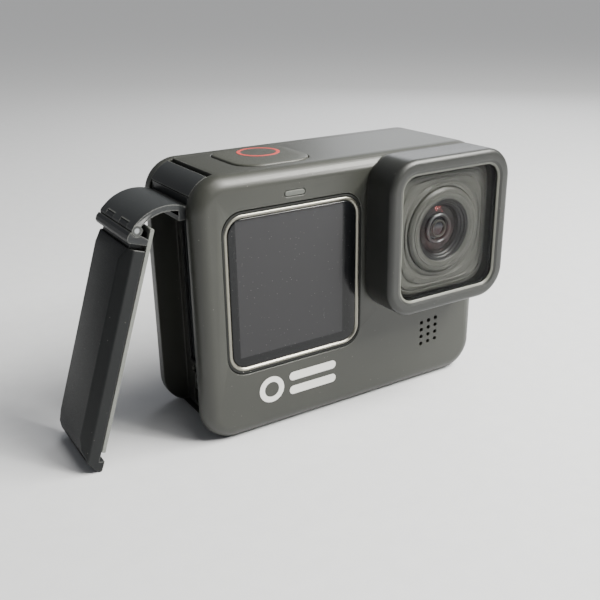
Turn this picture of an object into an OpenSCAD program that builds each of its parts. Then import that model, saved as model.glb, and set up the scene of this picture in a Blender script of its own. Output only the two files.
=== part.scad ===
// Pocket action camera. Its battery door hangs open on a sliding hinge arm, and two
// mounting fingers fold out of the base. X is right seen from the front, Y runs to the
// back, Z is up, and the origin is the centre of the base.

/* [Body] */
// Width of the body
body_w = 71; // [70.5:0.5:72]
// Height of the body
body_h = 55; // [54.5:0.5:56]
// Depth of the body without the lens cover
body_d = 25; // [25:0.25:26]
// Corner radius seen from the front
corner_r = 7; // [6.75:0.25:7.25]
// Radius rolled round the front edge
front_roll = 3; // [2:0.25:3.25]
// Radius rolled round the rear edge
rear_roll = 2; // [1:0.25:2.5]
// Wall thickness of the shells
wall = 1.4; // [1.3:0.1:1.5]
// Depth of the rear shell
rear_d = 3.5; // [3.25:0.25:3.75]

/* [Lens] */
// Height of the lens axis above the base
lens_z = 38.25; // [38:0.25:38.5]
// Distance of the lens axis to the right of the centre
lens_x = 19; // [18.75:0.25:19.25]
// Width of the removable lens cover
cover_w = 32; // [31.5:0.5:32]
// Height of the removable lens cover
cover_h = 33.1; // [32.5:0.1:33.1]
// How far the lens cover stands out of the body
cover_d = 8.6; // [8.4:0.1:9]
// Radius of the lens barrel
barrel_r = 8.1; // [7.8:0.1:8.2]

/* [Front screen] */
// Width of the front screen's bright trim
screen_w = 31.2; // [30:0.2:31.6]
// Height of the front screen's bright trim
screen_h = 32.5; // [31:0.5:33]
// Width of the trim's rim
trim_w = 0.8; // [0.6:0.1:1]

/* [Door] */
// Angle of the open door from upright
door_tilt = 18; // [12:1:20]
// Width of the door along the body's depth
door_w = 17.2; // [16.8:0.1:17.4]
// Length of the door below its hinge pin
door_l = 47.7; // [47:0.1:47.8]
// Travel of the hinge arm into the body
arm_travel = 11.2; // [11:0.1:11.2]
// Climb of the hinge arm's path, in degrees
arm_climb = 10.5; // [10:0.5:10.5]

/* [Mount] */
// Thickness of a mounting finger
finger_t = 2.9; // [2.8:0.1:2.9]
// Radius of the thumb screw's hole through a finger
screw_r = 2.5; // [2.4:0.1:2.7]
// Distance of that hole from the finger's hinge
screw_reach = 10.5; // [10:0.5:10.5]

/* [Hidden] */
$fn = 64;
front_y = -body_d / 2;
back_y = body_d / 2;
side_x = body_w / 2;
seam_y = back_y - rear_d;
recess_x = -side_x + 5.6;
recess_y = door_w / 2 + 0.3;
sill_z = 0.6;
floor_t = 1;
lens_front_y = front_y - cover_d;
turret_front_y = front_y - 5.9;
screen_x = 1.5 - screen_w / 2;
screen_z = 14.9 + screen_h / 2;
pin_r = 0.5;
knuckle_r = 1.0;
arch_x = -38.6;
arch_z = 41;
arch_r = 9.3;
arch_t = 1.15;
arch_start = 66;
arch_end = 138.6;
pin_x = arch_x + (arch_r - knuckle_r) * cos(arch_end);
pin_z = arch_z + (arch_r - knuckle_r) * sin(arch_end);
guide_x = -33.6;
guide_z = 48.3;
guide_r = 0.7;
arm_half = 8.4;
slide_gap = 0.12;
step_x = -34.65;
step_t = 0.5;
slot_l = -30.75;
slot_r = -29.65;
bay_z0 = 46.2;
bay_z1 = 52.7;
bay_x1 = -18.7;
bay_floor = 0.4;
cheek_t = 1.4;
arm_knuckles = [[-8.5, -5.6], [-1.6, 1.6], [5.6, 8.5]];
door_knuckles = [[-5.5, -1.7], [1.7, 5.5]];
door_face = -1.6;
door_plate = 2.5;
seal_w = 1;
seal_t = 0.8;
skin = 1.2;
battery_z = [10.8, 45];
finger_x = 3;
finger_z = 1.7;
finger_half = 7.4;
tray_x = 21.8;
tray_y = 9.2;
tray_z = 4.6;
rear_screw_z = [9, 43.6];
button_x = -14.45;
button_y = 0.25;
mode_z = 41;
card_z = 8.9;
usb_z = 6.6;

// Height of the line that the top of the arch follows as the arm slides
function slide_line(x) = arch_z + (x - arch_x) * tan(arm_climb) + arch_r / cos(arm_climb);

// A flat outline in X and Z, carried from y0 to y1
module along_y(y0, y1, x = 0, z = 0) {
    translate([x, y1, z]) rotate([90, 0, 0]) linear_extrude(y1 - y0) children();
}

// A flat outline in Y and Z, carried from x0 to x1
module along_x(x0, x1, y = 0, z = 0) {
    translate([x0, y, z]) rotate([90, 0, 90]) linear_extrude(x1 - x0) children();
}

// A box between two corners
module block(low, high) {
    translate(low) cube(high - low);
}

// A round bar along Y
module bar_y(r, y0, y1, x = 0, z = 0) {
    translate([x, y1, z]) rotate([90, 0, 0]) cylinder(r = r, h = y1 - y0);
}

// A round bar along X
module bar_x(r, x0, x1, y = 0, z = 0) {
    translate([x0, y, z]) rotate([0, 90, 0]) cylinder(r = r, h = x1 - x0);
}

// A rounded rectangle about its centre
module round_rect(w, h, r) {
    square([w - 2 * r, h], center = true);
    square([w, h - 2 * r], center = true);
    for (sx = [-1, 1], sy = [-1, 1])
        translate([sx * (w / 2 - r), sy * (h / 2 - r)]) circle(r);
}

// Half the section of a plate whose lower and upper edges are rolled
module rolled_edge(reach, d, low, high) {
    square([reach - low, d / 2]);
    translate([0, d / 2]) square([reach - high, d / 2]);
    translate([0, low]) square([reach, d - low - high]);
    if (low > 0) translate([reach - low, low]) circle(low);
    if (high > 0) translate([reach - high, d - high]) circle(high);
}

// A rounded rectangular plate, w by h by d, with both its edges rolled all the way round
module pillow(w, h, r, d, low, high) {
    corners = [[1, 1, 0], [-1, 1, 90], [-1, -1, 180], [1, -1, 270]];
    for (c = corners)
        translate([c.x * (w / 2 - r), c.y * (h / 2 - r), 0])
            rotate([0, 0, c.z]) rotate_extrude(angle = 90) rolled_edge(r, d, low, high);
    translate([r - w / 2, 0, 0]) rotate([90, 0, 90]) linear_extrude(w - 2 * r) {
        rolled_edge(h / 2, d, low, high);
        mirror([1, 0]) rolled_edge(h / 2, d, low, high);
    }
    for (side = [0, 1])
        mirror([side, 0, 0])
            translate([w / 2 - r, h / 2 - r, 0]) rotate([90, 0, 0])
                linear_extrude(h - 2 * r) rolled_edge(r, d, low, high);
}

// A pillow whose plate faces the front, from y0 back to y1
module facing_pillow(w, h, r, y0, y1, front, back, x, z) {
    translate([x, y1, z]) rotate([90, 0, 0]) pillow(w, h, r, y1 - y0, back, front);
}

// A length of curved wall about an axis along Y, between two angles from +X towards +Z
module arc_wall(x, z, r0, r1, a0, a1, y0, y1) {
    translate([x, y1, z]) rotate([90, 0, 0]) rotate([0, 0, a0])
        rotate_extrude(angle = a1 - a0) translate([r0, 0]) square([r1 - r0, y1 - y0]);
}

// The whole body's outer shape
module body_shape() {
    facing_pillow(body_w, body_h, corner_r, front_y, back_y, front_roll, rear_roll,
        0, body_h / 2);
}

// The hollow inside the body, right of the door recess
module body_hollow() {
    x0 = recess_x + floor_t;
    x1 = side_x - wall;
    facing_pillow(x1 - x0, body_h - 2 * wall, corner_r - wall, front_y + wall,
        seam_y + 1, front_roll - wall, 0, (x0 + x1) / 2, body_h / 2);
}

// Everything that the door and its arm need cut out of the left side
module door_recess() {
    block([-side_x - 1, -recess_y, sill_z], [recess_x, recess_y, bay_z1]);
    block([-side_x - 1, -recess_y, bay_z0], [slot_r, recess_y, body_h + 1]);
    block([recess_x - 1, -7.2, battery_z[0]], [recess_x + floor_t + 1, 7.2, battery_z[1]]);
    block([recess_x - 1, -4.6, usb_z - 1.65], [recess_x + floor_t + 1, 4.6, usb_z + 1.65]);
    block([recess_x - 1, -5.7, card_z - 0.15], [recess_x + floor_t + 1, 5.7, card_z + 1.05]);
    block([recess_x - 1, -5.6, 1.3], [recess_x + 1.6, 5.6, 4.6]);
}

// The hinge housing's side: a block whose upper left corner follows the body's
module bay_outline() {
    intersection() {
        translate([-side_x + 1, bay_z0 - bay_floor])
            square([bay_x1 + side_x - 1, bay_z1 - bay_z0 + bay_floor]);
        union() {
            translate([corner_r - side_x, body_h - corner_r]) circle(corner_r - 0.8);
            translate([-side_x, 0]) square([body_w, body_h - corner_r]);
            translate([corner_r - side_x, 0]) square([body_w, body_h]);
        }
    }
}

// The space that the hinge housing takes up inside the body
module hinge_pocket() {
    along_y(-recess_y - cheek_t, recess_y + cheek_t) bay_outline();
}

module microphone_holes(y0, y1) {
    for (col = [0:2], row = [0:3])
        bar_y(0.45, y0, y1, 19.4 + 2.05 * col, 9.4 + 1.75 * row + 0.2 * col);
}

module front_housing() {
    color("#4a4c48") difference() {
        union() {
            intersection() {
                body_shape();
                block([-side_x, front_y - 1, 0], [side_x, seam_y, body_h]);
            }
            along_y(front_y - 0.2, front_y + 3.5, lens_x, lens_z)
                round_rect(cover_w - 0.8, cover_h - 0.8, 6.1);
        }
        difference() {
            body_hollow();
            block([recess_x, -recess_y, 0], [recess_x + 2.6, recess_y, 4.9]);
        }
        door_recess();
        hinge_pocket();
        along_y(front_y - 1, front_y + 0.75, screen_x, screen_z)
            round_rect(screen_w + 0.8, screen_h + 1.4, 4.3);
        block([-28.2, front_y, 16.8], [-0.6, front_y + 2.6, 46.1]);
        along_y(front_y - 1, front_y + 2, -13.95, 49.9) round_rect(4.7, 1.3, 0.6);
        microphone_holes(front_y - 1, front_y + 2);
        bar_y(barrel_r + 0.1, front_y - 1, front_y + 4, lens_x, lens_z);
        translate([button_x, button_y, body_h - 2]) linear_extrude(3)
            round_rect(17.2, 17.7, 5.2);
        along_x(side_x - 2, side_x + 1, 0, mode_z) round_rect(11.4, 4.8, 2.35);
        for (k = [-2:2]) block([side_x - 2, 1.9 * k - 0.45, 8], [side_x + 1, 1.9 * k + 0.45, 16]);
        block([-tray_x, -tray_y, -1], [tray_x, tray_y, wall + 1]);
    }
}

module rear_housing() {
    color("#444642") difference() {
        intersection() {
            body_shape();
            block([-side_x, seam_y, 0], [side_x, back_y + 1, body_h]);
        }
        block([-28.5, seam_y - 1, 6.4], [28.5, back_y - 1.1, 49.6]);
        along_y(back_y - 1.2, back_y + 1, 0, 28) round_rect(58, 44.2, 4);
        bar_y(0.8, seam_y - 1, back_y + 1, 31.3, 50.4);
        block([-tray_x, seam_y - 1, -1], [tray_x, tray_y, tray_z]);
        for (x = [-31.6, 31.6], z = rear_screw_z)
            bar_y(0.95, seam_y - 1, seam_y + 2.2, x, z);
        hinge_pocket();
    }
}

module rear_screen_glass() {
    color("#101214") along_y(back_y - 1.1, back_y - 0.2, 0, 28) round_rect(57.7, 43.9, 3.9);
}

module rear_display() {
    color("#1c1e21") block([-27.5, back_y - 2.9, 9.5], [27.5, back_y - 1.15, 45.5]);
}

module rear_status_led() {
    color("#b04038") bar_y(0.75, back_y - 2.5, back_y - 0.1, 31.3, 50.4);
}

module front_screen_trim() {
    color("#c9c7bc") difference() {
        along_y(front_y - 0.05, front_y + 0.75, screen_x, screen_z)
            round_rect(screen_w, screen_h, 4);
        along_y(front_y - 1, front_y + 1, screen_x, screen_z)
            round_rect(screen_w - 2 * trim_w, screen_h - 2 * trim_w, 3.2);
    }
}

module front_screen_glass() {
    color("#121315") along_y(front_y + 0.05, front_y + 0.74, screen_x, screen_z)
        round_rect(screen_w - 2 * trim_w - 0.1, screen_h - 2 * trim_w - 0.1, 3.15);
}

module front_display() {
    color("#38383a") block([-27.6, front_y + 0.8, 17.4], [-2.4, front_y + 2.1, 46]);
}

module front_status_led() {
    color("#8d8f8a") along_y(front_y - 0.03, front_y + 1.6, -13.95, 49.9)
        round_rect(4.5, 1.1, 0.5);
}

// A plain ring beside two bars, in white print
module printed_mark() {
    color("white") {
        difference() {
            bar_y(2.9, front_y - 0.06, front_y, -20.4, 9.2);
            bar_y(1.7, front_y - 1, front_y + 1, -20.4, 9.2);
        }
        for (z = [7.6, 10.8])
            along_y(front_y - 0.06, front_y, -10.3, z) round_rect(11.6, 1.9, 0.9);
    }
}

module lens_turret() {
    color("#232426") difference() {
        union() {
            along_y(front_y - 5.2, front_y - 0.2, lens_x, lens_z) round_rect(27.4, 28.6, 4.9);
            along_y(turret_front_y, front_y - 5.1, lens_x, lens_z) round_rect(23.6, 24.8, 3.6);
        }
        bar_y(barrel_r + 0.1, turret_front_y - 1, front_y, lens_x, lens_z);
        bar_y(barrel_r + 1.1, turret_front_y - 1, turret_front_y + 0.5, lens_x, lens_z);
    }
}

// A solid of revolution about the lens axis: profile points are [radius, depth behind front]
module lens_turned(points, y) {
    translate([lens_x, y, lens_z]) rotate([-90, 0, 0]) rotate_extrude() polygon(points);
}

module lens_barrel() {
    color("#1b1c1e") lens_turned([
        [6.7, 0], [barrel_r, 0], [barrel_r, 20], [5.2, 20], [5.2, 2.6], [3.3, 2.6], [3.3, 1.9]
    ], turret_front_y - 0.3);
}

module lens_retaining_ring() {
    color("#8b8c8a") lens_turned([[6.9, 0], [7.6, 0], [7.6, 0.35], [6.9, 0.35]],
        turret_front_y - 0.65);
}

module front_lens_element() {
    color("#28303a") translate([lens_x, turret_front_y + 1.7, lens_z]) rotate([-90, 0, 0])
        intersection() {
            cylinder(r = 3.2, h = 2);
            translate([0, 0, 6]) sphere(r = 6);
        }
}

module inner_lens_elements() {
    color("#4c5a68") for (y = [4, 7.5, 11, 14.5])
        bar_y(5.1, turret_front_y + y, turret_front_y + y + 1.6, lens_x, lens_z);
}

module image_sensor() {
    color("#3a4048") block([lens_x - 4, 1.6, lens_z - 3.2], [lens_x + 4, 2.4, lens_z + 3.2]);
}

module sensor_board() {
    color("#1f5a3a") block([lens_x - 7.5, 2.4, lens_z - 7.5], [lens_x + 7.5, 3.4, lens_z + 7.5]);
}

module lens_cover_frame() {
    color("#34363a") difference() {
        facing_pillow(cover_w, cover_h, 6.5, lens_front_y, front_y - 0.25, 1.3, 0,
            lens_x, lens_z);
        along_y(turret_front_y - 1.1, front_y, lens_x, lens_z) round_rect(28, 29.2, 5.2);
        along_y(lens_front_y + 0.7, lens_front_y + 2, lens_x, lens_z) round_rect(26.6, 28, 4.1);
        along_y(lens_front_y - 1, lens_front_y + 2, lens_x, lens_z) round_rect(25.5, 26.9, 3.6);
    }
}

module lens_cover_glass() {
    color("#20262c") along_y(lens_front_y + 0.7, lens_front_y + 1.6, lens_x, lens_z)
        round_rect(26.5, 27.9, 4.05);
}

module lens_cover_seal() {
    color("#17181a") difference() {
        along_y(lens_front_y + 1.6, lens_front_y + 2.2, lens_x, lens_z)
            round_rect(27.9, 29.1, 5.1);
        along_y(lens_front_y, lens_front_y + 3, lens_x, lens_z) round_rect(25.7, 27.1, 3.7);
    }
}

module main_board() {
    color("#1f5a3a") block([-28, 7.6, 10], [30, 8.6, 44]);
}

module heat_sink() {
    color("#a9abad") block([-28.3, -9.6, 7], [8, -8.2, 45.4]);
}

module battery_case() {
    color("#2a2b2d") difference() {
        block([recess_x, -7.2, battery_z[0]], [10.6, 7.2, battery_z[1]]);
        block([recess_x - 1, -6.6, battery_z[0] + 0.6], [10, 6.6, battery_z[1] - 0.6]);
        for (k = [-1.5:1.5]) block([9, -3, 28 + 3 * k - 1], [11, 3, 28 + 3 * k + 1]);
    }
}

module battery() {
    color("#3d4a55") block([recess_x + 0.6, -6.4, battery_z[0] + 0.8], [9.8, 6.4, battery_z[1] - 0.8]);
}

module battery_pull_tab() {
    color("#7e8488") block([recess_x + 0.1, -3.5, 35], [recess_x + 0.6, 3.5, 43]);
}

module battery_contacts() {
    color("#c9a24a") for (k = [-1.5:1.5])
        block([9.8, -2.9, 28 + 3 * k - 0.9], [11, 2.9, 28 + 3 * k + 0.9]);
}

module usb_c_port() {
    color("#9a9c9e") difference() {
        along_x(recess_x + 0.2, recess_x + 7.3, 0, usb_z) round_rect(9.1, 3.2, 1.55);
        along_x(recess_x - 1, recess_x + 6.4, 0, usb_z) round_rect(8.4, 2.6, 1.25);
    }
    color("#202224") block([recess_x + 1, -3.3, usb_z - 0.35], [recess_x + 6.6, 3.3, usb_z + 0.35]);
}

module memory_card_slot() {
    color("#8f9193") difference() {
        block([recess_x + 1.1, -6.5, card_z - 0.5], [-13, 6.5, card_z + 1.5]);
        block([recess_x, -5.6, card_z - 0.1], [-13.4, 5.6, card_z + 1]);
    }
}

module memory_card() {
    color("#26282a") block([recess_x + 0.4, -5.5, card_z], [-14.5, 5.5, card_z + 0.9]);
}

module shutter_button() {
    color("#55574f") difference() {
        union() {
            translate([button_x, button_y, 53.4]) linear_extrude(body_h + 0.3 - 53.4)
                round_rect(16.9, 17.4, 5);
            translate([button_x + 0.3, button_y, 53.25]) linear_extrude(0.3)
                round_rect(17.8, 17.3, 5.4);
            translate([button_x, button_y, 51.5]) cylinder(r = 1.5, h = 1.6);
        }
        translate([-13.3, 2.9, body_h + 0.2]) cylinder(r = 4.6, h = 1);
    }
}

module shutter_ring() {
    color("#c0443e") translate([-13.3, 2.9, body_h + 0.2]) difference() {
        cylinder(r = 4.5, h = 0.12);
        translate([0, 0, -1]) cylinder(r = 3.7, h = 3);
    }
}

module shutter_switch() {
    color("#2b2d2f") block([button_x - 2.5, button_y - 2.5, 49], [button_x + 2.5, button_y + 2.5, 50.9]);
}

module mode_button() {
    color("#3c3e3b") union() {
        along_x(side_x - 1.9, side_x + 0.25, 0, mode_z) round_rect(11.1, 4.5, 2.2);
        along_x(side_x - 2.1, side_x - 1.5, 0, mode_z) round_rect(12.6, 6, 2.9);
    }
}

module mode_switch() {
    color("#2b2d2f") block([30.2, -2.2, mode_z - 1.8], [side_x - 2.6, 2.2, mode_z + 1.8]);
}

module speaker() {
    color("#2c2e30") bar_x(6, 29.4, 33.6, 0, 12);
}

module microphone() {
    color("#8c8f92") block([18, -10.5, 9], [25, -9.4, 16]);
}

module microphone_mesh() {
    color("#1a1b1c") block([17.9, front_y + wall, 8.4], [25, front_y + wall + 0.3, 16.6]);
}

module housing_screws() {
    color("#b4b6b8") for (x = [-31.6, 31.6], z = rear_screw_z)
        bar_y(0.9, seam_y + 0.2, seam_y + 2, x, z);
}

// The fixed corner above the door. Its lower end clears the line that the arm slides along
module hinge_cover() {
    x0 = -side_x;
    x1 = recess_x - 3;
    color("#5b5d5c") difference() {
        arc_wall(corner_r - side_x, body_h - corner_r, corner_r - 1, corner_r,
            acos((slot_l + side_x - corner_r) / corner_r), 153, -recess_y, recess_y);
        along_y(-recess_y - 1, recess_y + 1) polygon([
            [x0, slide_line(x0) + slide_gap], [x1, slide_line(x1) + slide_gap],
            [x1, bay_z0], [x0, bay_z0]
        ]);
    }
}

// A straight slot with round ends, along the guide pin's path
module guide_slot(y0, y1) {
    half = guide_r + 0.05;
    translate([guide_x, 0, guide_z]) rotate([0, -arm_climb, 0])
        along_y(y0, y1, arm_travel / 2) round_rect(arm_travel + 2 * half, 2 * half, 0.98 * half);
}

module hinge_housing() {
    color("#232527") difference() {
        union() {
            for (side = [0, 1]) mirror([0, side, 0])
                along_y(recess_y, recess_y + cheek_t) bay_outline();
            block([bay_x1 - 0.7, -recess_y, bay_z0], [bay_x1, recess_y, bay_z1]);
            block([recess_x + floor_t, -recess_y - cheek_t, bay_z0 - bay_floor],
                [bay_x1, recess_y + cheek_t, bay_z0]);
        }
        for (side = [0, 1]) mirror([0, side, 0]) guide_slot(recess_y - 1, recess_y + 1);
    }
}

module hinge_arm() {
    color("#5a5d60") difference() {
        union() {
            difference() {
                arc_wall(arch_x, arch_z, arch_r - arch_t, arch_r, arch_start, arch_end,
                    -arm_half, arm_half);
                for (k = door_knuckles)
                    bar_y(knuckle_r + 0.15, k[0] - 0.1, k[1] + 0.1, pin_x, pin_z);
            }
            for (k = arm_knuckles)
                translate([pin_x, 0, pin_z]) rotate([0, 120, 0]) bar_y(knuckle_r, k[0], k[1]);
            block([-36.6, -arm_half, 47], [-34.8, arm_half, 49.4]);
            translate([-34.9, 0, 49.45]) rotate([0, -arm_climb, 0])
                block([-0.3, -arm_half, -0.8], [4.1, arm_half, 0]);
            along_y(-arm_half, arm_half) polygon([
                [step_x, 49], [step_x + step_t, 49],
                [step_x + step_t, slide_line(step_x + step_t) - 0.03],
                [step_x, slide_line(step_x) - 0.03]
            ]);
            for (side = [0, 1]) mirror([0, side, 0])
                along_y(5, 7.4, guide_x - 0.7, guide_z) round_rect(3.4, 2, 0.95);
        }
        bar_y(pin_r, -arm_half - 1, arm_half + 1, pin_x, pin_z);
        bar_y(guide_r, -arm_half, arm_half, guide_x, guide_z);
    }
}

module hinge_guide_pin() {
    color("#9a9c9e") bar_y(guide_r, -recess_y - 0.9, recess_y + 0.9, guide_x, guide_z);
}

module door_pin() {
    color("#9a9c9e") bar_y(pin_r, -arm_half, arm_half, pin_x, pin_z);
}

// Door pieces are drawn upright with the hinge pin at the origin, then swung out
module hung_on_door() {
    translate([pin_x, 0, pin_z]) rotate([0, door_tilt, 0]) children();
}

// The lip below the knuckles, seen from the front: its outer face carries on the arch's line
module lip_outline() {
    difference() {
        polygon([
            [-0.3, -0.41], [-1.25, -0.41], [-1.6, -1.15], [-1.62, -1.9], [-1.2, -2.45],
            [door_plate, -2.45], [door_plate, -1.3]
        ]);
        circle(knuckle_r + 0.1);
    }
}

module door_frame() {
    plate_half = door_w / 2 - 0.2 - seal_w;
    color("#34373a") hung_on_door() difference() {
        union() {
            along_y(-door_w / 2, door_w / 2) lip_outline();
            for (k = door_knuckles) {
                block([-0.7, k[0], -1.4], [0.7, k[1], -0.4]);
                bar_y(knuckle_r, k[0], k[1]);
            }
            block([-0.3, -7.2, -10], [door_plate + 0.1, 7.2, -2.4]);
            block([1.3, -5.4, -40], [door_plate + 0.1, 5.4, -9]);
            block([0.2, -6.5, -40], [1.4, 6.5, -9]);
            block([door_plate, -plate_half, -42.8], [door_plate + 1, plate_half, -0.2]);
        }
        for (k = door_knuckles) bar_y(pin_r + 0.05, k[0] - 0.1, k[1] + 0.1);
    }
}

// The silicone seal: a rounded band round the edge of the door's inner plate
module door_seal() {
    half = door_w / 2 - 0.2;
    color("#a9aba7") hung_on_door() difference() {
        union() {
            block([door_plate, -half, -43.8], [door_plate + seal_t, half, 0.4]);
            bar_y(seal_t / 2, -half, half, door_plate + seal_t / 2, 0.4);
        }
        block([door_plate - 1, seal_w - half, -42.8], [door_plate + 2, half - seal_w, -0.2]);
    }
}

// The door's outline seen from its front edge
module door_outline() {
    polygon([
        [door_plate - 0.1, -3.5], [-0.7, -3.5], [door_face, -5.8], [door_face, -41.5],
        [-1.1, -44], [0.2, -46.2], [2, -door_l + 0.2], [3.4, -door_l],
        [3.5, -45.6], [door_plate - 0.1, -45.6]
    ]);
}

module door_panel() {
    half = door_w / 2;
    color("#2f3235") hung_on_door() {
        difference() {
            intersection() {
                along_y(-half, half) door_outline();
                translate([0, 0, -door_l - 1]) linear_extrude(door_l) polygon([
                    [4, -half], [0.1, -half], [door_face, 2.2 - half],
                    [door_face, half - 2.2], [0.1, half], [4, half]
                ]);
            }
            block([door_face + skin, skin - half, -45.6], [door_plate, half - skin, 0]);
        }
        for (side = [0, 1]) mirror([0, side, 0])
            block([1.5, 5.6, -38], [door_plate - 0.1, half - skin, -12]);
        block([3.3, -3.4, -46.9], [4.6, 3.4, -45.9]);
    }
}

module mount_base() {
    color("#2e3032") difference() {
        block([-tray_x, -tray_y, 0], [tray_x, tray_y, tray_z]);
        for (side = [0, 1]) mirror([side, 0, 0])
            block([1.2, -finger_half - 0.2, -1], [tray_x - 0.7, finger_half + 0.2, 3.5]);
        for (x = [-finger_x, finger_x]) bar_y(0.8, -8.8, 8.8, x, finger_z);
    }
}

// One finger, folded flat to the right
module finger() {
    difference() {
        union() {
            bar_y(finger_t / 2, -finger_half, finger_half, finger_x, finger_z);
            block([finger_x, -finger_half, finger_z - finger_t / 2],
                [finger_x + screw_reach, finger_half, finger_z + finger_t / 2]);
            translate([finger_x + screw_reach, 0, finger_z - finger_t / 2])
                cylinder(r = finger_half, h = finger_t);
        }
        bar_y(0.85, -finger_half - 1, finger_half + 1, finger_x, finger_z);
        translate([finger_x + screw_reach, 0, -1]) cylinder(r = screw_r, h = 6);
    }
}

module mount_finger_left() {
    color("#3a3c3e") mirror([1, 0, 0]) finger();
}

module mount_finger_right() {
    color("#3a3c3e") finger();
}

module finger_pins() {
    color("#9a9c9e") for (x = [-finger_x, finger_x]) bar_y(0.8, -8.8, 8.8, x, finger_z);
}

front_housing();
rear_housing();
rear_screen_glass();
rear_display();
rear_status_led();
front_screen_trim();
front_screen_glass();
front_display();
front_status_led();
printed_mark();
lens_turret();
lens_barrel();
lens_retaining_ring();
front_lens_element();
inner_lens_elements();
image_sensor();
sensor_board();
lens_cover_frame();
lens_cover_glass();
lens_cover_seal();
main_board();
heat_sink();
battery_case();
battery();
battery_pull_tab();
battery_contacts();
usb_c_port();
memory_card_slot();
memory_card();
shutter_button();
shutter_ring();
shutter_switch();
mode_button();
mode_switch();
speaker();
microphone();
microphone_mesh();
housing_screws();
hinge_cover();
hinge_housing();
hinge_arm();
hinge_guide_pin();
door_pin();
door_frame();
door_seal();
door_panel();
mount_base();
mount_finger_left();
mount_finger_right();
finger_pins();
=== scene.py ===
"""Looks of a pocket action camera that stands with its battery door hanging open.

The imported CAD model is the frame. Every new piece is a surface worked out on a grid, or a
CAD part's own shape with its sharp edges eased. Lengths below are in millimetres unless a
name says otherwise: X is right seen from the front, Y runs to the back, Z is up.
"""

import math

import bmesh
import bpy
import numpy as np
from mathutils import Matrix, Vector


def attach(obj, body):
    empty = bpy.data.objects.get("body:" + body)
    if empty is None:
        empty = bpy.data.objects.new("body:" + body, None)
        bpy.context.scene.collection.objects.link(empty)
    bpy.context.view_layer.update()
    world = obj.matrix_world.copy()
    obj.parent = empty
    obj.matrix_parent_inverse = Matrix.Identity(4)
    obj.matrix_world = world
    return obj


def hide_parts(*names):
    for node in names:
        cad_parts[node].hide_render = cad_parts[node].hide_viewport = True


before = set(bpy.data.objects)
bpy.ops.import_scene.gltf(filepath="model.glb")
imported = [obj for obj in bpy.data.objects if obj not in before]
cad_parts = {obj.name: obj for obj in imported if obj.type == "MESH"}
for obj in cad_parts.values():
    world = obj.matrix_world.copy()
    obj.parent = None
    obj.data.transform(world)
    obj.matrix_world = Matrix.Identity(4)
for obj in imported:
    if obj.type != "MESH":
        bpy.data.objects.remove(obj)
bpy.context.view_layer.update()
MM = 0.001


# ---------------------------------------------------------------- camera and light

# The camera stands to the front left of the body, a little above it
CAMERA_PLACE = (-93.27, -142.3, 87.76)
CAMERA_YAW, CAMERA_PITCH, CAMERA_ROLL = 31.66, 21.56, -0.92
CAMERA_LENS = 48.4
# The way the sunlight travels
SUN_WAY = (-0.22, 0.30, -1.0)


def make_camera():
    """Aims the camera: yaw turns it from +Y towards +X, pitch tips it down, roll turns the picture."""
    yaw, pitch, roll = (math.radians(a) for a in (CAMERA_YAW, CAMERA_PITCH, CAMERA_ROLL))
    ahead = Vector((
        math.sin(yaw) * math.cos(pitch), math.cos(yaw) * math.cos(pitch), -math.sin(pitch)))
    level = ahead.cross(Vector((0, 0, 1))).normalized()
    above = level.cross(ahead)
    right = math.cos(roll) * level + math.sin(roll) * above
    up = math.cos(roll) * above - math.sin(roll) * level
    turn = Matrix((right, up, -ahead)).transposed().to_4x4()
    data = bpy.data.cameras.new("camera")
    data.lens, data.sensor_width = CAMERA_LENS, 36
    data.clip_start, data.clip_end = 0.005, 20
    camera = bpy.data.objects.new("camera", data)
    camera.matrix_world = Matrix.Translation(Vector(CAMERA_PLACE) * MM) @ turn
    bpy.context.scene.collection.objects.link(camera)
    bpy.context.scene.camera = camera


def soft_box(name, place, target, size, power, colour):
    """A rectangular lamp at place, in millimetres, facing target."""
    data = bpy.data.lights.new(name, "AREA")
    data.shape, data.size, data.size_y = "RECTANGLE", size[0] * MM, size[1] * MM
    data.energy, data.color = power, colour
    lamp = bpy.data.objects.new(name, data)
    way = Vector(target) - Vector(place)
    lamp.matrix_world = (
        Matrix.Translation(Vector(place) * MM) @ way.to_track_quat("-Z", "Y").to_matrix().to_4x4())
    bpy.context.scene.collection.objects.link(lamp)


def light_studio():
    """A wide soft sun from above and a little to the front right, a panel above that draws the
    long highlight on the rolled edges, a window with a bright core whose image sits in the lens,
    a weak panel behind, and an even grey room."""
    sun = bpy.data.lights.new("key_sun", "SUN")
    sun.energy, sun.angle, sun.color = 1.75, math.radians(30), (1.0, 0.985, 0.95)
    lamp = bpy.data.objects.new("key_sun", sun)
    lamp.matrix_world = Vector(SUN_WAY).to_track_quat("-Z", "Y").to_matrix().to_4x4()
    bpy.context.scene.collection.objects.link(lamp)
    middle, lens_face = (0, 0, 40), (19, -19, 38)
    soft_box("top_panel", (230, -190, 350), middle, (330, 170), 6.2, (1.0, 0.99, 0.93))
    soft_box("window", (243, -323, 301), lens_face, (190, 110), 0.7, (1.0, 0.98, 0.95))
    soft_box("window_core", (238, -318, 297), lens_face, (34, 50), 1.2, (1.0, 0.98, 0.95))
    soft_box("rear_panel", (330, 300, 240), middle, (240, 240), 0.55, (0.95, 0.97, 1.0))
    world = bpy.data.worlds.new("room")
    bpy.context.scene.world = world
    world.use_nodes = True
    sky = world.node_tree.nodes["Background"]
    sky.inputs["Color"].default_value = (0.86, 0.88, 0.92, 1)
    sky.inputs["Strength"].default_value = 0.24


# ---------------------------------------------------------------- materials

def linear(code):
    """The linear colour of an sRGB hex value."""
    parts = [int(code[i:i + 2], 16) / 255 for i in (1, 3, 5)]
    return tuple(c / 12.92 if c <= 0.04045 else ((c + 0.055) / 1.055) ** 2.4 for c in parts) + (1,)


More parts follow.
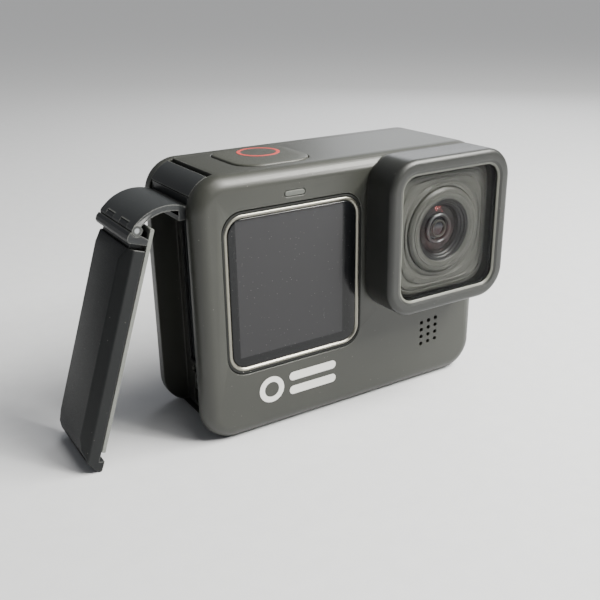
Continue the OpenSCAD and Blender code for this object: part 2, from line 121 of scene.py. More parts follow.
def add(tree, kind, settings=(), **links):
    """Adds a node. A setting names an attribute or an input; a link names an input, spaces as _."""
    node = tree.nodes.new(kind)
    for key, value in dict(settings).items():
        if isinstance(key, int) or key in node.inputs:
            node.inputs[key].default_value = value
        else:
            setattr(node, key, value)
    for key, source in links.items():
        socket = node.inputs[int(key[1:])] if key[1:].isdigit() else node.inputs[key.replace("_", " ")]
        tree.links.new(source, socket)
    return node


def new_material(name, **shader):
    """An empty principled material with its constant sockets set, as (material, tree, shader)."""
    material = bpy.data.materials.new(name)
    material.use_nodes = True
    tree = material.node_tree
    body = tree.nodes["Principled BSDF"]
    for key, value in shader.items():
        body.inputs[key.replace("_", " ")].default_value = value
    return material, tree, body


RUBBED_PLASTIC = "#8e8f8a"
PLASTIC_DUST = "#b4b3ad"
RUBBED_WIDTH = 0.35
DUST_SPACING = 1.3


def moulded(name, colour, light, roughness=0.5, grain=0.22, depth=0.012, dust=0.25, wear=0.35,
            specular=0.4):
    """ABS or polycarbonate from an eroded mould: matt, with a fine pebbled grain that breaks up
    the highlights, a slow drift of shade, edges rubbed paler, and specks of dust. grain and
    depth are in mm."""
    material, tree, shader = new_material(name, IOR=1.5, Specular_IOR_Level=specular)
    where = add(tree, "ShaderNodeTexCoord").outputs["Object"]
    pebbles = add(tree, "ShaderNodeTexNoise", {"Scale": 1 / (grain * MM), "Detail": 3.0,
                                               "Roughness": 0.6}, Vector=where)
    drift = add(tree, "ShaderNodeTexNoise", {"Scale": 70.0, "Detail": 2.0}, Vector=where)
    specks = add(tree, "ShaderNodeTexVoronoi", {"Scale": 1 / (DUST_SPACING * MM)}, Vector=where)
    scatter = add(tree, "ShaderNodeTexNoise", {"Scale": 160.0, "Detail": 1.0}, Vector=where)
    dot = add(tree, "ShaderNodeMapRange", {"From Min": 0.045, "From Max": 0.09, "To Min": 1.0,
                                           "To Max": 0.0}, Value=specks.outputs["Distance"])
    some = add(tree, "ShaderNodeMapRange", {"From Min": 0.48, "From Max": 0.62,
                                            "To Min": 0.0, "To Max": dust},
               Value=scatter.outputs["Fac"])
    amount = add(tree, "ShaderNodeMath", {"operation": "MULTIPLY"},
                 _0=dot.outputs[0], _1=some.outputs[0])
    round_off = add(tree, "ShaderNodeBevel", {"samples": 4, "Radius": RUBBED_WIDTH * MM})
    true_face = add(tree, "ShaderNodeNewGeometry")
    lean = add(tree, "ShaderNodeVectorMath", {"operation": "DOT_PRODUCT"},
               _0=round_off.outputs[0], _1=true_face.outputs["Normal"])
    rubbed = add(tree, "ShaderNodeMapRange", {"From Min": 0.985, "From Max": 0.86, "To Min": 0.0,
                                              "To Max": wear}, Value=lean.outputs["Value"])
    patchy = add(tree, "ShaderNodeMath", {"operation": "MULTIPLY"},
                 _0=rubbed.outputs[0], _1=pebbles.outputs["Fac"])
    shade = add(tree, "ShaderNodeMix", {"data_type": "RGBA", 6: linear(colour), 7: linear(light)},
                _0=drift.outputs["Fac"])
    mottled = add(tree, "ShaderNodeMix", {"data_type": "RGBA", "blend_type": "OVERLAY", 0: 0.22},
                  _6=shade.outputs[2], _7=pebbles.outputs["Fac"])
    worn = add(tree, "ShaderNodeMix", {"data_type": "RGBA", 7: linear(RUBBED_PLASTIC)},
               _0=patchy.outputs[0], _6=mottled.outputs[2])
    dusty = add(tree, "ShaderNodeMix", {"data_type": "RGBA", 7: linear(PLASTIC_DUST)},
                _0=amount.outputs[0], _6=worn.outputs[2])
    polish = add(tree, "ShaderNodeMapRange", {"From Min": 0.3, "From Max": 0.7,
                                              "To Min": roughness - 0.07,
                                              "To Max": roughness + 0.09},
                 Value=pebbles.outputs["Fac"])
    bump = add(tree, "ShaderNodeBump", {"Strength": 0.5, "Distance": depth * MM},
               Height=pebbles.outputs["Fac"])
    tree.links.new(dusty.outputs[2], shader.inputs["Base Color"])
    tree.links.new(polish.outputs[0], shader.inputs["Roughness"])
    tree.links.new(bump.outputs[0], shader.inputs["Normal"])
    return material


def satin_metal(name, colour, light, roughness=0.32, grain=0.12, metallic=1.0):
    """Machined or rolled metal: fine grain along its length that softens the reflections."""
    material, tree, shader = new_material(name, Metallic=metallic)
    where = add(tree, "ShaderNodeTexCoord").outputs["Object"]
    lay = add(tree, "ShaderNodeMapping", {"Scale": (1.0, 6.0, 1.0)}, Vector=where)
    grains = add(tree, "ShaderNodeTexNoise", {"Scale": 1 / (grain * MM), "Detail": 2.0},
                 Vector=lay.outputs[0])
    tone = add(tree, "ShaderNodeMix", {"data_type": "RGBA", 6: linear(colour), 7: linear(light)},
               _0=grains.outputs["Fac"])
    polish = add(tree, "ShaderNodeMapRange", {"To Min": roughness - 0.08, "To Max": roughness + 0.1},
                 Value=grains.outputs["Fac"])
    bump = add(tree, "ShaderNodeBump", {"Strength": 0.25, "Distance": 0.004 * MM},
               Height=grains.outputs["Fac"])
    tree.links.new(tone.outputs[2], shader.inputs["Base Color"])
    tree.links.new(polish.outputs[0], shader.inputs["Roughness"])
    tree.links.new(bump.outputs[0], shader.inputs["Normal"])
    return material


def painted_dial(name, colour, light, roughness=0.38, tooth_mm=0.15, relief=0.3):
    """Matt black anodised or painted lens parts: an even fine tooth, a faint cool sheen."""
    material, tree, shader = new_material(name, IOR=1.5, Specular_IOR_Level=0.5)
    where = add(tree, "ShaderNodeTexCoord").outputs["Object"]
    tooth = add(tree, "ShaderNodeTexNoise", {"Scale": 1 / (tooth_mm * MM), "Detail": 2.0},
                Vector=where)
    tone = add(tree, "ShaderNodeMix", {"data_type": "RGBA", 6: linear(colour), 7: linear(light)},
               _0=tooth.outputs["Fac"])
    polish = add(tree, "ShaderNodeMapRange", {"To Min": roughness - 0.06, "To Max": roughness + 0.08},
                 Value=tooth.outputs["Fac"])
    bump = add(tree, "ShaderNodeBump", {"Strength": relief, "Distance": 0.005 * MM},
               Height=tooth.outputs["Fac"])
    tree.links.new(tone.outputs[2], shader.inputs["Base Color"])
    tree.links.new(polish.outputs[0], shader.inputs["Roughness"])
    tree.links.new(bump.outputs[0], shader.inputs["Normal"])
    return material


def screen_glass(name, middle, size, lit):
    """Hardened cover glass over a dark panel: near-black border, the sleeping panel a shade
    lighter inside it, and a film of fine dust and wiping marks. middle and size are in mm."""
    material, tree, shader = new_material(name, IOR=1.5, Specular_IOR_Level=0.28)
    where = add(tree, "ShaderNodeTexCoord").outputs["Object"]
    centred = add(tree, "ShaderNodeVectorMath", {"operation": "SUBTRACT",
                                                 1: (middle[0] * MM, 0, middle[1] * MM)},
                  _0=where)
    split = add(tree, "ShaderNodeSeparateXYZ", (), Vector=centred.outputs[0])
    inside = []
    for axis, half in (("X", size[0] / 2 * MM), ("Z", size[1] / 2 * MM)):
        span = add(tree, "ShaderNodeMath", {"operation": "ABSOLUTE"}, _0=split.outputs[axis])
        inside.append(add(tree, "ShaderNodeMapRange", {"From Min": half - 0.0001,
                                                       "From Max": half + 0.0001,
                                                       "To Min": 1.0, "To Max": 0.0},
                          Value=span.outputs[0]))
    panel = add(tree, "ShaderNodeMath", {"operation": "MULTIPLY"},
                _0=inside[0].outputs[0], _1=inside[1].outputs[0])
    wipe = add(tree, "ShaderNodeMapping", {"Scale": (1.0, 1.0, 0.25)}, Vector=where)
    film = add(tree, "ShaderNodeTexNoise", {"Scale": 420.0, "Detail": 4.0, "Roughness": 0.62},
               Vector=wipe.outputs[0])
    specks = add(tree, "ShaderNodeTexVoronoi", {"Scale": 1 / (0.9 * MM)}, Vector=where)
    dot = add(tree, "ShaderNodeMapRange", {"From Min": 0.04, "From Max": 0.1, "To Min": 0.16,
                                           "To Max": 0.0}, Value=specks.outputs["Distance"])
    tone = add(tree, "ShaderNodeMix", {"data_type": "RGBA", 6: linear("#0d0e10"), 7: linear(lit)},
               _0=panel.outputs[0])
    dusty = add(tree, "ShaderNodeMix", {"data_type": "RGBA", 7: linear("#b8b8b4")},
                _0=dot.outputs[0], _6=tone.outputs[2])
    polish = add(tree, "ShaderNodeMapRange", {"From Min": 0.35, "From Max": 0.75, "To Min": 0.10,
                                              "To Max": 0.30}, Value=film.outputs["Fac"])
    tree.links.new(dusty.outputs[2], shader.inputs["Base Color"])
    tree.links.new(polish.outputs[0], shader.inputs["Roughness"])
    return material


def clear_glass(name, tint, open_share, roughness=0.03, specular=0.5, coating="#ffffff"):
    """Coated optical glass: clear when faced, with more reflection towards its edges. coating is
    the colour that its reflections take."""
    material, tree, shader = new_material(name, IOR=1.5, Specular_IOR_Level=specular,
                                          Specular_Tint=linear(coating),
                                          Base_Color=linear(tint), Roughness=roughness)
    edge = add(tree, "ShaderNodeLayerWeight", {"Blend": 0.35})
    film = add(tree, "ShaderNodeMapRange", {"From Min": 0.15, "To Min": 1 - open_share,
                                            "To Max": 0.9},
               Value=edge.outputs["Facing"])
    tree.links.new(film.outputs[0], shader.inputs["Alpha"])
    return material


def printed_ink(name, colour, light):
    """Pad-printed ink: a thin matt film that lets the grain below show as faint mottling."""
    material, tree, shader = new_material(name, IOR=1.45, Specular_IOR_Level=0.35)
    where = add(tree, "ShaderNodeTexCoord").outputs["Object"]
    mottle = add(tree, "ShaderNodeTexNoise", {"Scale": 1 / (0.2 * MM), "Detail": 3.0}, Vector=where)
    tone = add(tree, "ShaderNodeMix", {"data_type": "RGBA", 6: linear(colour), 7: linear(light)},
               _0=mottle.outputs["Fac"])
    polish = add(tree, "ShaderNodeMapRange", {"To Min": 0.45, "To Max": 0.65},
                 Value=mottle.outputs["Fac"])
    bump = add(tree, "ShaderNodeBump", {"Strength": 0.4, "Distance": 0.008 * MM},
               Height=mottle.outputs["Fac"])
    tree.links.new(tone.outputs[2], shader.inputs["Base Color"])
    tree.links.new(polish.outputs[0], shader.inputs["Roughness"])
    tree.links.new(bump.outputs[0], shader.inputs["Normal"])
    return material


def seamless_paper(name):
    """A sheet of pale matt studio paper, with a very faint mottling."""
    material, tree, shader = new_material(name, Roughness=0.85, Specular_IOR_Level=0.2)
    where = add(tree, "ShaderNodeTexCoord").outputs["Object"]
    mottle = add(tree, "ShaderNodeTexNoise", {"Scale": 240.0, "Detail": 3.0}, Vector=where)
    tone = add(tree, "ShaderNodeMix", {"data_type": "RGBA", 6: linear("#c3c4c6"),
                                       7: linear("#cbccce")}, _0=mottle.outputs["Fac"])
    tree.links.new(tone.outputs[2], shader.inputs["Base Color"])
    return material


BODY_ABS = moulded("body_abs_grained", "#282925", "#30312c", roughness=0.4, specular=0.52)
TOP_ABS = moulded("button_abs_grained", "#31322d", "#393a34", roughness=0.42, grain=0.3)
COVER_ABS = moulded("lens_cover_abs_satin", "#222322", "#2b2c2a", roughness=0.36, grain=0.12,
                    depth=0.006, dust=0.2, wear=0.8)
DOOR_ABS = moulded("door_abs_grained", "#0f1112", "#151718", roughness=0.5, grain=0.2, dust=0.2,
                   specular=0.3)
ARM_ABS = moulded("hinge_nylon_satin", "#222425", "#2b2d2e", roughness=0.42, grain=0.16,
                  depth=0.008, wear=0.9)
LIP_ABS = moulded("door_frame_abs", "#17191b", "#1e2022", roughness=0.5, grain=0.2, dust=0.2,
                  wear=0.7)
BAY_ABS = moulded("bay_abs_matt", "#141516", "#1a1b1d", roughness=0.62, grain=0.25, dust=0.12)
SEAL_GREY = moulded("silicone_seal_dusty", "#555753", "#7f817c", roughness=0.6, grain=0.3,
                    depth=0.02, dust=0.6, wear=0.2)
SEAL_BLACK = moulded("lens_seal_rubber", "#151617", "#1c1d1e", roughness=0.7, grain=0.18,
                     depth=0.006, dust=0.1, wear=0.0, specular=0.3)
# Near-black is painted shade: this flush gasket stands for the dark groove round the front screen's
# trim. Its dust specks are real dust.
PAINTED_GROOVE_SHADE_GASKET = moulded("dusty_gasket_painted_groove_shade", "#101110", "#1c1d1b", roughness=0.65, grain=0.25,
                 depth=0.01, dust=0.7, wear=0.0, specular=0.3)
TRIM_METAL = satin_metal("trim_anodised_aluminium", "#6f6d64", "#96948a", roughness=0.34,
                         metallic=0.9)
RING_METAL = satin_metal("lens_ring_aluminium", "#5e5f60", "#747576", roughness=0.38,
                         metallic=0.9)
STEEL = satin_metal("pin_stainless_steel", "#8f9295", "#a7a9ac", roughness=0.3)
BRIGHT = satin_metal("heat_sink_aluminium", "#9c9fa2", "#b4b6b8", roughness=0.4)
GOLD = satin_metal("contact_gold_plate", "#b98f3c", "#cda551", roughness=0.28)
LENS_BLACK = painted_dial("lens_black_anodised", "#0f1011", "#151617", tooth_mm=0.6, relief=0.1)
RING_GREY = moulded("lens_ring_paint_satin", "#464742", "#52534d", roughness=0.38, grain=0.2,
                    depth=0.004, dust=0.0, wear=0.3)
TURRET_BLACK = moulded("turret_polycarbonate", "#4b4c47", "#555650", roughness=0.46, grain=0.3,
                       depth=0.004, dust=0.0, wear=0.3)
FRONT_GLASS = screen_glass("front_screen_glass", (-14.95, 32.1), (24.5, 28.2), "#262628")
REAR_GLASS = screen_glass("rear_screen_glass", (0, 27.5), (54, 35), "#1c1d1f")
COVER_GLASS = clear_glass("lens_cover_glass", "#101112", 0.97)
DOME_GLASS = clear_glass("coated_front_dome", "#0b090b", 0.93, specular=1.0, coating="#ff7d78")
LENS_GLASS = painted_dial("lens_element_coated", "#14161c", "#1a1c24", roughness=0.08,
                          tooth_mm=1.5, relief=0.02)
BEVEL_EDGE = moulded("cover_bevel_rubbed", "#4d4e48", "#66675f", roughness=0.32, grain=0.12,
                     depth=0.004, dust=0.1, wear=0.2)
WHITE_INK = printed_ink("white_pad_print", "#c8c8c4", "#dededa")
RED_INK = printed_ink("red_pad_print", "#9c3330", "#b8423c")
LED_LENS = printed_ink("frosted_light_pipe", "#4c4e4a", "#5c5e5a")
BOARD = painted_dial("green_solder_mask", "#123d28", "#19502f", roughness=0.4)
CELL = painted_dial("battery_wrap", "#1f2224", "#292c2e", roughness=0.5)
PANEL = painted_dial("display_panel", "#1b1c1f", "#232428", roughness=0.3)
PAPER = seamless_paper("studio_paper")


# ---------------------------------------------------------------- shapes

# Faces that meet at more than this many degrees keep a sharp edge between them
SHARP_ANGLE = 32


def piece(name, points, faces, material, body, node=None, slot=None,
          smooth_angle=SHARP_ANGLE):
    """Makes a closed mesh of points in millimetres, turns its faces outwards, rides it on a CAD
    body and lets it stand for a node."""
    mesh = bpy.data.meshes.new(name)
    mesh.from_pydata((np.asarray(points, float) * MM).tolist(), [], faces)
    work = bmesh.new()
    work.from_mesh(mesh)
    bmesh.ops.recalc_face_normals(work, faces=work.faces)
    work.to_mesh(mesh)
    work.free()
    return finish_piece(name, mesh, material, body, node, smooth_angle)


def finish_piece(name, mesh, material, body, node, smooth_angle):
    """Shades the mesh, gives it its material, rides it on a CAD body and hides the node that it
    replaces.
    """
    mesh.materials.clear()
    mesh.materials.append(material)
    mesh.shade_smooth()
    mesh.set_sharp_from_angle(angle=math.radians(smooth_angle))
    obj = bpy.data.objects.new(name, mesh)
    bpy.context.scene.collection.objects.link(obj)
    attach(obj, body)
    if node:
        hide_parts(node)
    return obj


def grid_faces(rows, columns, closed):
    """Quads between neighbouring rows of a grid whose columns run round a loop. The last row joins
    the first if closed, and otherwise the end rows are filled."""
    spots = np.arange(rows * columns).reshape(rows, columns)
    below = np.roll(spots, -1, axis=0) if closed else spots[1:]
    above = spots if closed else spots[:-1]
    quads = np.stack([above, np.roll(above, -1, axis=1), np.roll(below, -1, axis=1), below], 2)
    faces = quads.reshape(-1, 4).tolist()
    if not closed:
        faces += [spots[0].tolist(), spots[-1].tolist()]
    return faces


def eased_section(corners, steps=4):
    """A line through (x, y, radius) corners, each turned by a circular arc of its radius."""
    out = []
    count = len(corners)
    for i, (x, y, radius) in enumerate(corners):
        here = np.array([x, y], float)
        if radius <= 0 or i in (0, count - 1):
            out.append(here)
            continue
        before, after = (np.array(corners[k][:2], float) - here for k in (i - 1, i + 1))
        before, after = before / np.linalg.norm(before), after / np.linalg.norm(after)
        half = math.acos(np.clip(before @ after, -1, 1)) / 2
        reach = radius / math.tan(half)
        centre = here + (before + after) / np.linalg.norm(before + after) * radius / math.sin(half)
        start, end = here + before * reach - centre, here + after * reach - centre
        sweep = math.pi - 2 * half
        turn = math.copysign(sweep, start[0] * end[1] - start[1] * end[0])
        for t in np.linspace(0, turn, steps + 1):
            c, s = math.cos(t), math.sin(t)
            out.append(centre + [c * start[0] - s * start[1], s * start[0] + c * start[1]])
    return np.array(out)


def grown(size, margin):
    """An outline's (width, height, corner radius) with a margin added all round."""
    return size[0] + 2 * margin, size[1] + 2 * margin, size[2] + margin


def rounded_rectangle(w, h, r, inset, steps=10):
    """Points round a rectangle with circular corners, pulled in by inset on every side."""
    w, h, r = w - 2 * inset, h - 2 * inset, max(r - inset, 0.05)
    turns = np.linspace(0, math.pi / 2, steps)
    out = []
    for k, (sx, sy) in enumerate(((1, 1), (-1, 1), (-1, -1), (1, -1))):
        angle = turns + k * math.pi / 2
        out.append(np.stack([sx * (w / 2 - r) + r * np.cos(angle),
                             sy * (h / 2 - r) + r * np.sin(angle)], 1))
    return np.concatenate(out)


def framed(name, section, size, centre, material, body, closed, axis="y", steps=10, **kept):
    """A section carried round a rounded rectangle. Each section point is (inset, depth): the inset
    pulls the rectangle in, the depth is its place along the axis, which is y or z. An open
    section is capped."""
    w, h, r = size
    rings = []
    for inset, depth in section:
        flat = rounded_rectangle(w, h, r, inset, steps)
        level = np.full(len(flat), depth)
        if axis == "y":
            ring = np.stack([centre[0] + flat[:, 0], level, centre[1] + flat[:, 1]], 1)
        else:
            ring = np.stack([centre[0] + flat[:, 0], centre[1] + flat[:, 1], level], 1)
        rings.append(ring)
    points = np.concatenate(rings)
    faces = grid_faces(len(rings), len(rings[0]), closed)
    return piece(name, points, faces, material, body, **kept)


def turned(name, profile, centre, material, body, closed=True, count=96, **kept):
    """A profile of (radius, y) points turned about an axis along Y through centre (x, z)."""
    angle = np.linspace(0, 2 * math.pi, count, endpoint=False)
    radius, depth = np.array(profile, float).T
    x = centre[0] + radius[:, None] * np.cos(angle)
    z = centre[1] + radius[:, None] * np.sin(angle)
    y = np.repeat(depth[:, None], count, 1)
    points = np.stack([x, y, z], 2).reshape(-1, 3)
    faces = grid_faces(len(profile), count, closed)
    return piece(name, points, faces, material, body, **kept)


def eased(node, width, material, body, segments=2, clamp=False):
    """A CAD part's own shape with its sharp edges eased by a small round of that width in mm. With
    clamp, every round shrinks to what the part's thinnest end can take."""
    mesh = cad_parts[node].data.copy()
    work = bmesh.new()
    work.from_mesh(mesh)
    bmesh.ops.remove_doubles(work, verts=work.verts, dist=0.002 * MM)
    bmesh.ops.dissolve_limit(work, angle_limit=math.radians(0.6), verts=work.verts,
                             edges=work.edges)
    work.to_mesh(mesh)
    work.free()
    obj = finish_piece(node + "_eased", mesh, material, body, node, SHARP_ANGLE)
    round_off = obj.modifiers.new("eased edges", "BEVEL")
    round_off.width, round_off.segments = width * MM, segments
    round_off.limit_method, round_off.angle_limit = "ANGLE", math.radians(SHARP_ANGLE)
    round_off.use_clamp_overlap = clamp
    round_off.harden_normals = True
    return obj


# ---------------------------------------------------------------- the camera's pieces

BODY = "camera_body"
# The front screen's middle in X and Z, and its trim's width, height and corner radius
SCREEN_MIDDLE = (-14.1, 31.15)
TRIM_SIZE = (31.2, 32.5, 4.0)
# The lens axis in X and Z, and the lens cover's width, height and corner radius
LENS = (19.0, 38.25)
COVER_SIZE = (32.0, 33.1, 6.5)
# Where the lens barrel's mouth and its far end lie in Y
BARREL_MOUTH = -18.7
BARREL_END = 1.3


def make_shells():
    """The front and rear shells, the fixed corner over the door, and the base with its fingers."""
    eased("front_housing", 0.16, BODY_ABS, BODY)
    eased("rear_housing", 0.16, BODY_ABS, BODY)
    eased("hinge_cover", 0.14, ARM_ABS, BODY)
    eased("hinge_housing", 0.08, BAY_ABS, BODY)
    eased("mount_base", 0.12, BAY_ABS, BODY)
    eased("mount_finger_left", 0.3, ARM_ABS, "finger_left", 3)
    eased("mount_finger_right", 0.3, ARM_ABS, "finger_right", 3)
    eased("mode_button", 0.25, TOP_ABS, "mode", 3)
    eased("usb_c_port", 0.05, STEEL, BODY)
    eased("battery_case", 0.1, BAY_ABS, BODY)
    eased("battery_pull_tab", 0.1, ARM_ABS, BODY)


def make_front_screen():
    """The dusty gasket, painted near-black as the shade of the groove round the trim, the bright
    trim in it, the glass with its rolled edges, and the small status light."""
    rim = eased_section([(0.0, -11.76, 0), (0.02, -12.42, 0.1), (0.22, -12.55, 0.12),
                         (0.5, -12.55, 0.12), (0.8, -12.3, 0.1), (0.8, -11.76, 0)], 3)
    groove = eased_section([(0.0, -12.3, 0), (0.02, -12.53, 0.06), (0.5, -12.53, 0.06),
                            (0.52, -12.3, 0)], 2)
    # A flat band flush round the trim, coloured near-black as painted shade for the groove there, with
    # real dust specks
    framed("screen_gasket_painted_groove_shade", groove, grown(TRIM_SIZE, 0.5), SCREEN_MIDDLE, PAINTED_GROOVE_SHADE_GASKET, BODY, True,
           slot="seal_rubber", steps=14)
    framed("screen_trim", rim, TRIM_SIZE, SCREEN_MIDDLE, TRIM_METAL, BODY, True,
           node="front_screen_trim", slot="trim_metal", steps=14)
    slab = eased_section([(0.0, -11.77, 0), (0.0, -12.42, 0.25), (2.0, -12.42, 0)], 4)
    framed("screen_glass", slab, grown(TRIM_SIZE, -0.85), SCREEN_MIDDLE, FRONT_GLASS, BODY, False,
           node="front_screen_glass", slot="screen_glass", steps=14)
    light = eased_section([(0.0, -10.9, 0), (0.0, -12.5, 0.15), (0.4, -12.5, 0)], 3)
    framed("status_light", light, (4.5, 1.1, 0.5), (-13.95, 49.9), LED_LENS, BODY, False,
           node="front_status_led", slot="led_diffuser")


def make_lens_cover():
    """The removable cover: a square tube with a rolled front, an inner chamfer and its glass."""
    wall = eased_section([
        (0.0, -16.0, 0), (0.0, -12.75, 0.2), (2.0, -12.75, 0.2), (2.0, -19.45, 0),
        (2.72, -19.45, 0), (2.72, -20.42, 0), (3.25, -20.42, 0), (3.25, -20.62, 0.08),
        (2.25, -21.1, 0.18), (0.0, -21.1, 1.25), (0.0, -16.0, 0)], 6)[:-1]
    framed("lens_cover", wall, COVER_SIZE, LENS, COVER_ABS, "lens_cover", True,
           node="lens_cover_frame", slot="cover_plastic", steps=16)
    slab = eased_section([(0.0, -19.5, 0), (0.0, -20.4, 0.12), (2.0, -20.4, 0)], 3)
    framed("lens_window", slab, (26.4, 27.8, 4.0), LENS, COVER_GLASS, "lens_cover", False,
           node="lens_cover_glass", slot="lens_glass", steps=14)


def make_cover_bevel():
    """The rubbed bevel round the cover's opening: a thin band laid on its slope."""
    band = [(2.82, -20.87), (3.2, -20.66), (3.27, -20.6), (3.27, -20.45), (3.18, -20.45),
            (2.82, -20.75)]
    framed("cover_bevel", band, COVER_SIZE, LENS, BEVEL_EDGE, "lens_cover", True,
           slot="cover_plastic", steps=16)


def make_turret():
    """The fixed face behind the cover's glass: rings of a super-ellipse whose power falls from
    a rounded square to a circle, so the face runs in steps from square to round. Each ring is
    (power, half width, half height, y)."""
    rings = [
        (6.0, 13.7, 14.3, -12.72), (6.0, 13.7, 14.3, -16.6), (6.0, 13.6, 14.2, -16.8),
        (6.0, 12.95, 13.55, -16.85), (6.0, 12.85, 13.45, -17.0), (6.0, 12.8, 13.4, -17.7),
        (6.0, 12.6, 13.2, -17.9), (5.8, 12.1, 12.65, -17.92), (5.8, 12.0, 12.55, -17.7),
        (5.7, 11.8, 12.35, -17.7), (5.6, 11.7, 12.25, -17.94), (4.6, 11.4, 11.75, -18.02),
        (4.2, 11.3, 11.6, -17.8), (3.9, 11.05, 11.3, -17.8), (3.6, 10.95, 11.2, -18.06),
        (2.6, 10.5, 10.6, -18.12), (2.4, 10.4, 10.5, -17.86), (2.3, 10.1, 10.15, -17.82),
        (2.2, 9.9, 9.95, -18.1), (2.0, 9.75, 9.75, -18.14), (2.0, 9.5, 9.5, -18.1),
        (2.0, 9.42, 9.42, -17.7), (2.0, 8.25, 8.25, -17.6), (2.0, 8.2, 8.2, -17.5),
        (2.0, 8.2, 8.2, -12.72)]
    angle = np.linspace(0, 2 * math.pi, 144, endpoint=False)
    loops = []
    for power, a, b, depth in rings:
        across, along = np.abs(np.cos(angle) / a), np.abs(np.sin(angle) / b)
        reach = (across ** power + along ** power) ** (-1 / power)
        loops.append(np.stack([LENS[0] + reach * np.cos(angle), np.full(len(angle), depth),
                               LENS[1] + reach * np.sin(angle)], 1))
    points = np.concatenate(loops)
    faces = grid_faces(len(rings), len(angle), True)
    piece("turret", points, faces, TURRET_BLACK, BODY, node="lens_turret", slot="lens_black",
          smooth_angle=40)


def make_barrel():
    """The barrel, turned: a rolled mouth, a cone of four steps that each narrow by 0.45 and go 0.5
    deeper, then a narrow bore and a wider one behind it."""
    mouth = [(8.1, BARREL_END), (8.1, BARREL_MOUTH + 0.25), (7.9, BARREL_MOUTH + 0.02),
             (7.65, BARREL_MOUTH), (6.85, BARREL_MOUTH), (6.7, BARREL_MOUTH + 0.08)]
    cone = []
    for k in range(4):
        radius, depth = 6.6 - 0.45 * k, BARREL_MOUTH + 0.25 + 0.5 * k
        cone += [(radius, depth), (radius - 0.3, depth + 0.12), (radius - 0.36, depth + 0.4)]
    bore = [(3.3, -16.5), (3.3, -16.1), (5.2, -16.1), (5.2, BARREL_END)]
    turned("barrel", mouth + cone + bore, LENS, LENS_BLACK, BODY, node="lens_barrel",
           slot="lens_black")


def lens_ring(name, section, steps, finish, **kept):
    """A ring whose rounded section, given as (radius, y, rounding), turns about the lens axis."""
    loop = eased_section(section + section[:1], steps)[:-1]
    turned(name, loop, LENS, finish, BODY, **kept)


def make_lens_rings():
    """From the outside in: the thick ring round the barrel, the retaining ring that slopes to the
    dome, and the two small rings that hold the glass deep inside."""
    lens_ring("barrel_ring", [
        (8.12, -17.65, 0), (9.35, -17.65, 0), (9.3, -18.4, 0.3), (8.7, -18.85, 0.5),
        (8.12, -18.9, 0.1)], 5, RING_GREY, slot="lens_black")
    lens_ring("retaining_ring", [
        (6.75, -18.66, 0), (8.1, -18.66, 0), (8.1, -18.95, 0.1), (7.5, -19.0, 0.4),
        (6.8, -18.75, 0.1)], 5, RING_GREY, node="lens_retaining_ring", slot="ring_metal")
    lens_ring("element_rim", [
        (2.6, -16.6, 0), (3.3, -16.6, 0), (3.35, -17.1, 0.15), (3.0, -17.35, 0.15),
        (2.65, -17.1, 0.1)], 3, RING_METAL, slot="ring_metal")
    lens_ring("element_inner_rim", [
        (1.5, -16.6, 0), (1.9, -16.6, 0), (1.9, -17.2, 0.1), (1.7, -17.3, 0.1),
        (1.5, -17.1, 0.05)], 3, RING_GREY, slot="ring_metal")


def bowl(radius, crown, sag, share):
    """Points of a parabola from its crown on the axis out to radius, where it has sunk by sag."""
    return [(radius * t, crown + sag * t * t) for t in share]


def make_lens_glass():
    """The clear front dome, a parabolic shell, and the dark element that lies behind it."""
    share = np.linspace(0.002, 1, 24)
    shell = bowl(5.6, -19.3, 2.15, share) + bowl(5.5, -18.95, 1.85, share[::-1])
    turned("front_dome", shell, LENS, DOME_GLASS, BODY, closed=False, slot="lens_glass")
    element = bowl(3.15, -17.05, 0.75, share) + [(3.15, -15.8), (0.006, -15.8)]
    turned("front_element", element, LENS, LENS_GLASS, BODY, closed=False,
           node="front_lens_element", slot="lens_glass")


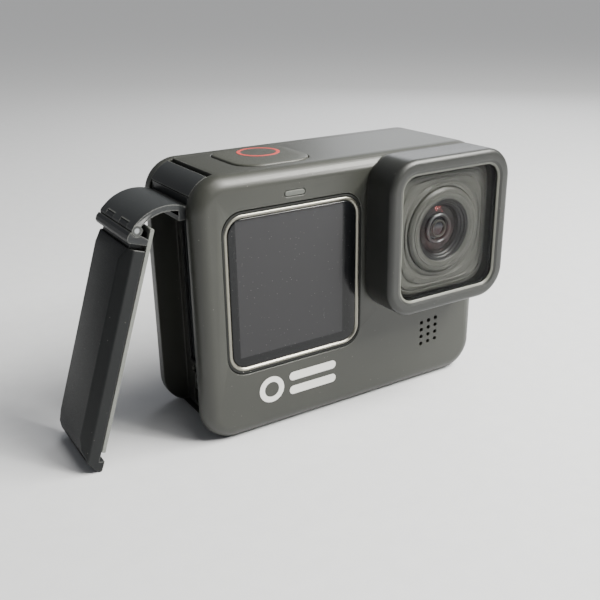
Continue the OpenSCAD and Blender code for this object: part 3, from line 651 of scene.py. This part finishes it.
def make_shutter():
    """The shutter button: a rounded plate with rolled edges and a faint dish for the red ring."""
    top = 55.3
    cap = eased_section([(0.0, 53.42, 0), (0.0, top, 0.45), (2.2, top, 0), (5.0, top - 0.03, 0),
                         (7.6, top - 0.05, 0), (8.3, top - 0.055, 0)], 5)
    framed("shutter_cap", cap, (16.9, 17.4, 5.0), (-14.45, 0.25), TOP_ABS, "shutter", False,
           axis="z", node="shutter_button", slot="body_plastic", steps=14)
    angle = np.linspace(0, 2 * math.pi, 80, endpoint=False)
    section = [(3.72, 55.27), (3.76, 55.31), (4.44, 55.31), (4.48, 55.27), (4.48, 55.2),
               (3.72, 55.2)]
    radius, level = np.array(section).T
    x = -13.3 + radius[:, None] * np.cos(angle)
    y = 2.9 + radius[:, None] * np.sin(angle)
    points = np.stack([x, y, np.repeat(level[:, None], len(angle), 1)], 2).reshape(-1, 3)
    piece("red_ring", points, grid_faces(len(section), len(angle), True), RED_INK, "shutter",
          node="shutter_ring", slot="red_print")


def make_door():
    """The hinge arm, the door's frame with its lip, the outer panel and the seal."""
    eased("hinge_arm", 0.12, ARM_ABS, "arm", clamp=True)
    eased("door_frame", 0.1, LIP_ABS, "door")
    eased("door_panel", 0.25, DOOR_ABS, "latch", 3)
    eased("door_seal", 0.1, SEAL_GREY, "door")


CARRIED = {
    "rear_display": PANEL, "rear_status_led": LED_LENS, "front_display": PANEL,
    "printed_mark": WHITE_INK, "inner_lens_elements": LENS_GLASS, "image_sensor": PANEL,
    "sensor_board": BOARD, "lens_cover_seal": SEAL_BLACK, "main_board": BOARD,
    "heat_sink": BRIGHT, "battery": CELL, "battery_contacts": GOLD, "memory_card_slot": STEEL,
    "memory_card": BAY_ABS, "shutter_switch": BAY_ABS, "mode_switch": BAY_ABS,
    "speaker": BAY_ABS, "microphone": STEEL, "microphone_mesh": BAY_ABS,
    "housing_screws": STEEL, "hinge_guide_pin": STEEL, "door_pin": STEEL, "finger_pins": STEEL,
    "rear_screen_glass": REAR_GLASS,
}


def finish_cad_nodes():
    """Gives the CAD parts that stay as they are their materials."""
    for node, material in CARRIED.items():
        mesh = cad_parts[node].data
        mesh.materials.clear()
        mesh.materials.append(material)


def make_floor():
    """A plain pale sheet that the camera stands on."""
    reach = 12.0
    mesh = bpy.data.meshes.new("floor")
    mesh.from_pydata([(-reach, -reach, 0), (reach, -reach, 0), (reach, reach, 0), (-reach, reach, 0)],
                     [], [(0, 1, 2, 3)])
    mesh.materials.append(PAPER)
    floor = bpy.data.objects.new("floor", mesh)
    bpy.context.scene.collection.objects.link(floor)


make_camera()
light_studio()
make_floor()
make_shells()
make_front_screen()
make_lens_cover()
make_cover_bevel()
make_turret()
make_barrel()
make_lens_rings()
make_lens_glass()
make_shutter()
make_door()
finish_cad_nodes()
